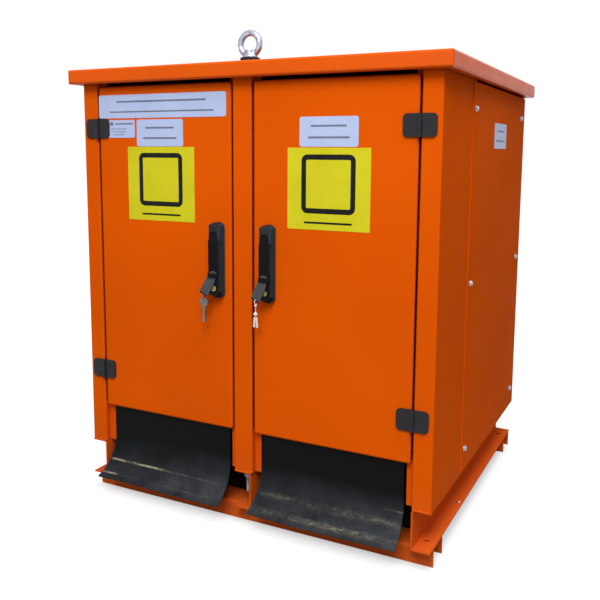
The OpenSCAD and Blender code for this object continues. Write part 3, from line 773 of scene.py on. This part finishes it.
def hex_bolt(flats, head, washer_d, washer_t):
    """A bolt head on its washer, its seat on z = 0 and its top upwards."""
    bolt = bmesh.new()
    radius = flats / math.sqrt(3)
    seat = Matrix.Translation((0, 0, washer_t + head / 2))
    bmesh.ops.create_cone(
        bolt, cap_ends=True, segments=6, radius1=radius, radius2=radius, depth=head, matrix=seat
    )
    rim = [e for e in bolt.edges if min(v.co.z for v in e.verts) > washer_t + head - 1e-5]
    bmesh.ops.bevel(bolt, geom=rim, offset=head * 0.2, affect="EDGES", segments=2, profile=0.5, material=-1)
    disc = bmesh.new()
    bmesh.ops.create_cone(
        disc, cap_ends=True, segments=28, radius1=washer_d / 2, radius2=washer_d / 2,
        depth=washer_t, matrix=Matrix.Translation((0, 0, washer_t / 2)),
    )
    rim = [e for e in disc.edges if min(v.co.z for v in e.verts) > washer_t - 1e-5]
    bmesh.ops.bevel(disc, geom=rim, offset=washer_t * 0.3, affect="EDGES", segments=2, profile=0.5, material=-1)
    merge(bolt, disc)
    return bolt


def bolt_set(name, places, outward):
    """Bolts at those places, each with its head pointing outward."""
    joined = bmesh.new()
    turn = Vector(outward).to_track_quat("Z", "Y").to_matrix()
    for number, place in enumerate(places):
        bolt = hex_bolt(BOLT_FLATS, BOLT_HEAD, WASHER_D, WASHER_T)
        twist = Matrix.Rotation(math.radians(17 * number), 3, "Z")
        bmesh.ops.rotate(bolt, matrix=turn @ twist, verts=bolt.verts)
        bmesh.ops.translate(bolt, vec=place, verts=bolt.verts)
        merge(joined, bolt)
    piece(name, joined, [bolt_zinc], "cabinet")


PANEL_BOLT_Y = (PANEL_FRONT_Y + 24 * MM, FRONT_Y + 895 * MM)
REAR_BOLT_X = (-495 * MM, 0.0, 495 * MM)
for side, sign in zip(SIDES, (-1, 1)):
    bolt_set(
        f"{side}_panel_bolts",
        [(sign * SIDE_X, y, z) for y in PANEL_BOLT_Y for z in BOLT_Z],
        (sign, 0, 0),
    )
bolt_set("rear_panel_bolts", [(x, REAR_Y, z) for x in REAR_BOLT_X for z in BOLT_Z], (0, 1, 0))

# %% [markdown]
# Two smaller fastenings show on the skid. A stud with a nut hangs from the
# middle beam's upper flange, just behind its front end, and a small plated
# head sits on the lower flange of each outer beam. The stud's thread is a
# zigzag line spun round its axis, which reads as a thread at this size.

# %% Stud and nut under the middle beam
STUD_R = 6 * MM
STUD_PITCH = 1.75 * MM
STUD_LOW_Z = 90 * MM
NUT_FLATS = 18 * MM
NUT_H = 20 * MM
STUD_X = 1 * MM
STUD_Y = FRONT_Y + 25 * MM
BEAM_T = 4 * MM
FLANGE_UNDER_Z = BEAM_TOP - BEAM_T


def threaded_rod(radius, pitch, low_z, high_z):
    """A rod from low_z to high_z with its thread as a zigzag spun round."""
    rod = bmesh.new()
    depth = pitch * 0.5
    turns = int((high_z - low_z) / pitch)
    line = [rod.verts.new((0, 0, low_z)), rod.verts.new((radius - depth, 0, low_z))]
    for turn in range(turns):
        line.append(rod.verts.new((radius, 0, low_z + (turn + 0.5) * pitch)))
        line.append(rod.verts.new((radius - depth, 0, low_z + (turn + 1) * pitch)))
    line.append(rod.verts.new((0, 0, low_z + turns * pitch)))
    edges = [rod.edges.new(pair) for pair in zip(line, line[1:])]
    bmesh.ops.spin(
        rod, geom=line + edges, cent=(0, 0, 0), axis=(0, 0, 1), angle=math.tau,
        steps=20, use_merge=True,
    )
    return rod


def hanging_stud(name, x, y):
    """The stud with its nut against the underside of the upper flange."""
    stud = threaded_rod(STUD_R, STUD_PITCH, STUD_LOW_Z, FLANGE_UNDER_Z)
    nut = hex_bolt(NUT_FLATS, NUT_H - WASHER_T, 22 * MM, WASHER_T)
    bmesh.ops.rotate(nut, matrix=Matrix.Rotation(math.pi, 3, "X"), verts=nut.verts)
    bmesh.ops.translate(nut, vec=(0, 0, FLANGE_UNDER_Z), verts=nut.verts)
    merge(stud, nut)
    bmesh.ops.translate(stud, vec=(x, y, 0), verts=stud.verts)
    # The stud takes the darker zinc with its painted shade.
    piece(name, stud, [zinc_painted_shade], "cabinet")


hanging_stud("middle_beam_stud", STUD_X, STUD_Y)

# %% Plated heads on the outer beams' lower flanges
FLANGE_HEAD_X = 519 * MM
FLANGE_HEAD_Y = FRONT_Y + 307 * MM
FLANGE_TOP_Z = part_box("right_base_beam")[0].z + BEAM_T

for side, sign in zip(SIDES, (-1, 1)):
    head = bmesh.new()
    bmesh.ops.create_uvsphere(head, u_segments=20, v_segments=12, radius=5 * MM)
    bmesh.ops.bisect_plane(
        head, geom=head.verts[:] + head.edges[:] + head.faces[:], plane_co=(0, 0, 0),
        plane_no=(0, 0, -1), clear_outer=True,
    )
    bmesh.ops.holes_fill(head, edges=head.edges[:])
    bmesh.ops.scale(head, vec=(1, 1, 0.7), verts=head.verts)
    place = (sign * FLANGE_HEAD_X, FLANGE_HEAD_Y, FLANGE_TOP_Z)
    bmesh.ops.translate(head, vec=place, verts=head.verts)
    piece(f"{side}_flange_head", head, [bolt_zinc], "cabinet")

# %% [markdown]
# The posts stand on the beams and are welded along their lower edges. The bead
# is painted over, but it still shows as a bright, slightly lumpy line. Spin
# with no angle sweeps a small ring straight along; moving each ring a little in
# and out with a sine then gives the ripples that a welder's hand leaves.

# %% Weld beads under the posts
BEAD_R = 2.2 * MM
BEAD_STEP = 1.6 * MM
BEAD_RIPPLE = 0.35 * MM


def weld_bead(x0, x1, y, z):
    """A rippled bead along X."""
    bead = bmesh.new()
    ring = bmesh.ops.create_circle(
        bead, cap_ends=True, segments=8, radius=BEAD_R,
        matrix=Matrix.Translation((x0, y, z)) @ Matrix.Rotation(math.pi / 2, 4, "Y"),
    )
    steps = round((x1 - x0) / BEAD_STEP)
    way = Vector(((x1 - x0) / steps, 0, 0))
    bmesh.ops.spin(
        bead, geom=bead.faces[:] + bead.edges[:] + ring["verts"], cent=(0, 0, 0),
        axis=(1, 0, 0), dvec=way, angle=0, steps=steps,
    )
    for vert in bead.verts:
        along = (vert.co.x - x0) / BEAD_STEP
        swell = 1 + BEAD_RIPPLE / BEAD_R * math.sin(along * 2.1) * math.cos(along * 0.37)
        vert.co.y = y + (vert.co.y - y) * swell
        vert.co.z = z + (vert.co.z - z) * swell
    return bead


beads = bmesh.new()
for post in ("left_front_post", "middle_front_post", "right_front_post"):
    low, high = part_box(post)
    if post == "middle_front_post":
        edge = (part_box("left_door")[1].x + 6 * MM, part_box("right_door")[0].x - 6 * MM)
    elif post == "left_front_post":
        edge = (low.x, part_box("left_door")[0].x - 6 * MM)
    else:
        edge = (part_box("right_door")[1].x + 6 * MM, high.x)
    merge(beads, weld_bead(edge[0] + 3 * MM, edge[1] - 3 * MM, FRONT_Y - BEAD_R / 4, BEAM_TOP))
piece("post_welds", beads, [body_paint], "cabinet")

# %% [markdown]
# A forged lifting eye has no sharp line where the ring meets its collar: the
# steel flows from one into the other. We build the ring and the collar as two
# closed shells that pass through each other, let a voxel remesh weld them
# into one skin, and smooth that skin, which rounds the inner corners as the
# forging die does.

# %% Lifting eyes
EYE_VOXEL = 1.0 * MM
EYE_SMOOTHING = 16
EYE_TUBE_R = 8 * MM
EYE_RING_R = 28 * MM
COLLAR_FOOT_R = 20.5 * MM
COLLAR_NECK_R = 14.5 * MM
COLLAR_H = 20 * MM


def eye_shape():
    """Ring and collar, the collar's foot on z = 0."""
    shape = bmesh.new()
    ring_z = EYE_RING_R + EYE_TUBE_R - 1 * MM
    section = bmesh.ops.create_circle(
        shape, segments=28, radius=EYE_TUBE_R, matrix=Matrix.Translation((EYE_RING_R, 0, ring_z))
    )
    bmesh.ops.spin(
        shape, geom=section["verts"] + shape.edges[:], cent=(0, 0, ring_z), axis=(0, 1, 0),
        angle=math.tau, steps=72, use_merge=True,
    )
    collar = bmesh.new()
    outline = (
        (0, 0), (COLLAR_FOOT_R, 0), (COLLAR_FOOT_R, 3.5 * MM), (COLLAR_FOOT_R - 2 * MM, 6 * MM),
        (COLLAR_NECK_R, 11 * MM), (COLLAR_NECK_R, COLLAR_H), (0, COLLAR_H),
    )
    line = [collar.verts.new((r, 0, z)) for r, z in outline]
    links = [collar.edges.new(pair) for pair in zip(line, line[1:])]
    bmesh.ops.spin(
        collar, geom=line + links, cent=(0, 0, 0), axis=(0, 0, 1), angle=math.tau, steps=48, use_merge=True
    )
    merge(shape, collar)
    return shape


for end in ("front", "rear"):
    low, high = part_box(f"{end}_lifting_eye")
    seat_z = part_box(f"{end}_eye_seal")[1].z
    shape = eye_shape()
    centre = ((low.x + high.x) / 2, (low.y + high.y) / 2, seat_z)
    bmesh.ops.translate(shape, vec=centre, verts=shape.verts)
    eye = piece(f"{end}_forged_eye", shape, [eye_zinc], "cabinet")
    weld = eye.modifiers.new("weld", "REMESH")
    weld.mode = "VOXEL"
    weld.voxel_size = EYE_VOXEL
    weld.use_smooth_shade = True
    soften = eye.modifiers.new("soften", "SMOOTH")
    soften.factor = 0.5
    soften.iterations = EYE_SMOOTHING
    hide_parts(f"{end}_lifting_eye")

# %% [markdown]
# The cable flaps are cut from rubber sheet, clamped behind the doors' lower
# edges, and they curl out over the skid. Each is one grid that is laid along
# the curl: straight down at first, then round an arc. Real rubber never hangs
# quite even, so the lower edge waves a little and the corners lift.

# %% Rubber finish for the flaps
# The grey along the curl is dust together with painted sheen, where the curl turns up to the light. The yellowish
# lines are scuffs together with painted highlights, and the last line in the list is a painted highlight only.
RUBBER_DARK = (0.0040, 0.0042, 0.0045)
RUBBER_DUST_SHEEN = (0.054, 0.061, 0.071)
SCUFF_HIGHLIGHT = (0.62, 0.58, 0.40)
DUST_SHEEN_REACH = [(0, 0.35), (0.16, 0.55), (0.34, 1), (0.49, 1), (0.51, 0.7), (0.7, 1)]
SCUFF_HIGHLIGHT_LINES = [
    (0.745, 0.016, 60, 0.7, [(0, 0), (0.02, 0.9), (0.06, 1), (0.2, 1), (0.26, 0.2), (0.46, 0.05), (0.49, 0)]),
    (0.92, 0.018, 60, 0.7, [(0, 0.9), (0.05, 0.8), (0.07, 0.05), (0.24, 0.03), (0.30, 0.07), (0.44, 0.08), (0.49, 0)]),
    (0.74, 0.050, 130, 0.15, [(0.50, 0), (0.53, 0.14), (0.72, 0.20), (0.92, 0.20), (1, 0.12)]),
    (0.92, 0.050, 130, 0.15, [(0.50, 0), (0.53, 0.16), (0.70, 0.28), (0.87, 0.32), (0.98, 0.1)]),
    (0.62, 0.014, 60, 0.7, [(0.93, 0), (0.97, 0.12), (1, 0.3)]),
]


def flap_finish():
    """Rubber dark above and greyer along the curl from dust and painted sheen, with lines of scuff and painted
    highlight.
    """
    rubber = Finish("sheet_rubber")
    rubber.shader.inputs["Specular IOR Level"].default_value = 0.05
    place = rubber.add("ShaderNodeUVMap", uv_map="flap").outputs["UV"]
    parts = rubber.add("ShaderNodeSeparateXYZ", {"Vector": place})
    across, down = parts.outputs["X"], parts.outputs["Y"]
    smudge = rubber.noise(9, detail=6, rough=0.62)
    fine = rubber.noise(60, detail=5, rough=0.62, stretch=(0.35, 1, 1))
    # Dust together with painted sheen: greyer towards the curl.
    dust_and_sheen = rubber.span(down, 0.0, 1.0, (0.42, 0.95))
    share = rubber.sum(dust_and_sheen, rubber.span(smudge, 0.2, 1.3, (0.3, 0.7)), "MULTIPLY")
    reach = rubber.ramp(across, [(at, (value,) * 3) for at, value in DUST_SHEEN_REACH])
    share = rubber.sum(share, reach, "MULTIPLY")
    colour = rubber.blend(share, RUBBER_DARK, RUBBER_DUST_SHEEN)
    wave = rubber.sum(down, rubber.span(rubber.noise(2.6, detail=1), -0.012, 0.012))
    # Scuff lines together with painted highlights.
    for middle, width, grains, weakest, strengths in SCUFF_HIGHLIGHT_LINES:
        off = rubber.add("ShaderNodeMath", {0: wave, 1: middle}, operation="SUBTRACT").outputs[0]
        off = rubber.add("ShaderNodeMath", {0: off}, operation="ABSOLUTE").outputs[0]
        line = rubber.span(off, 1.0, 0.0, (0.0, width))
        speckle = rubber.noise(grains, detail=5, rough=0.7, stretch=(0.5, 1, 1))
        patch = rubber.span(rubber.noise(13, detail=2), weakest, 1.0, (0.38, 0.6))
        scuff_highlight_grain = rubber.sum(rubber.span(speckle, 0.1, 1.0, (0.42, 0.62)), patch, "MULTIPLY")
        strength = rubber.ramp(across, [(at, (value,) * 3) for at, value in strengths])
        streak = rubber.sum(rubber.sum(line, scuff_highlight_grain, "MULTIPLY"), strength, "MULTIPLY")
        colour = rubber.blend(streak, colour, SCUFF_HIGHLIGHT)
    rubber.set("Base Color", colour)
    rubber.set("Roughness", rubber.span(smudge, 0.34, 0.5, (0.3, 0.7)))
    rubber.bump(fine, 0.0005, 0.2)
    return rubber.material


sheet_rubber = flap_finish()

# %% Cable flaps
FLAP_T = 5 * MM
FLAP_R = 108 * MM
FLAP_SWEEP = math.radians(75)
FLAP_CURL_Z = 178 * MM
FLAP_COLUMNS = 60
FLAP_ROWS = 48
FLAP_WAVE = 1.6 * MM
FLAP_GAP = 0.3 * MM
FLAP_FREE = 0.45
FLAP_FLARE = 6 * MM


def curl_point(down, front_y, top_z, radius):
    """The place (y, z) at a length down the flap's front."""
    straight = top_z - FLAP_CURL_Z
    if down < straight:
        return front_y, top_z - down
    angle = (down - straight) / FLAP_R
    return front_y - FLAP_R + radius * math.cos(angle), FLAP_CURL_Z - radius * math.sin(angle)


for number, (side, phase) in enumerate(zip(SIDES, (0.4, 2.1))):
    node = f"{side}_cable_flap"
    low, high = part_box(node)
    front_y = high.y - FLAP_T
    flat_length = high.z - FLAP_CURL_Z + FLAP_R * FLAP_SWEEP
    flap = bmesh.new()
    bmesh.ops.create_grid(flap, x_segments=FLAP_COLUMNS, y_segments=FLAP_ROWS, size=0.5)
    uv_layer = flap.loops.layers.uv.new("flap")
    for vert in flap.verts:
        across, down = vert.co.x + 0.5, 0.5 - vert.co.y
        for loop in vert.link_loops:
            loop[uv_layer].uv = ((number + across) / 2, down)
        loose = max(0.0, down - FLAP_FREE) / (1 - FLAP_FREE)
        wave = math.sin(across * 7.5 + phase) + 0.5 * math.sin(across * 17 + 2 * phase)
        lift = FLAP_WAVE * loose * loose * (0.5 * wave - 1)
        length = down * flat_length * (1 - 0.006 * loose * (1 + math.sin(across * 5 + phase)))
        y, z = curl_point(length, front_y, high.z, FLAP_R - lift)
        spread = (across - 0.5) * 2 * FLAP_FLARE * loose
        vert.co = (low.x + across * (high.x - low.x) + spread, y, z)
    flap.normal_update()
    bmesh.ops.solidify(flap, geom=flap.faces[:], thickness=FLAP_T - 2 * FLAP_GAP)
    rubber_flap = piece(f"{side}_rubber_flap", flap, [sheet_rubber], f"{side}_door_body")
    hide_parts(node)

# %% [markdown]
# Last, the size of the dressed model's box is printed in millimetres. The looks
# must not change the object's size.

# %% Sizes and finish
low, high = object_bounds()
print("dressed model, mm:", [round(x / MM) for x in high - low])
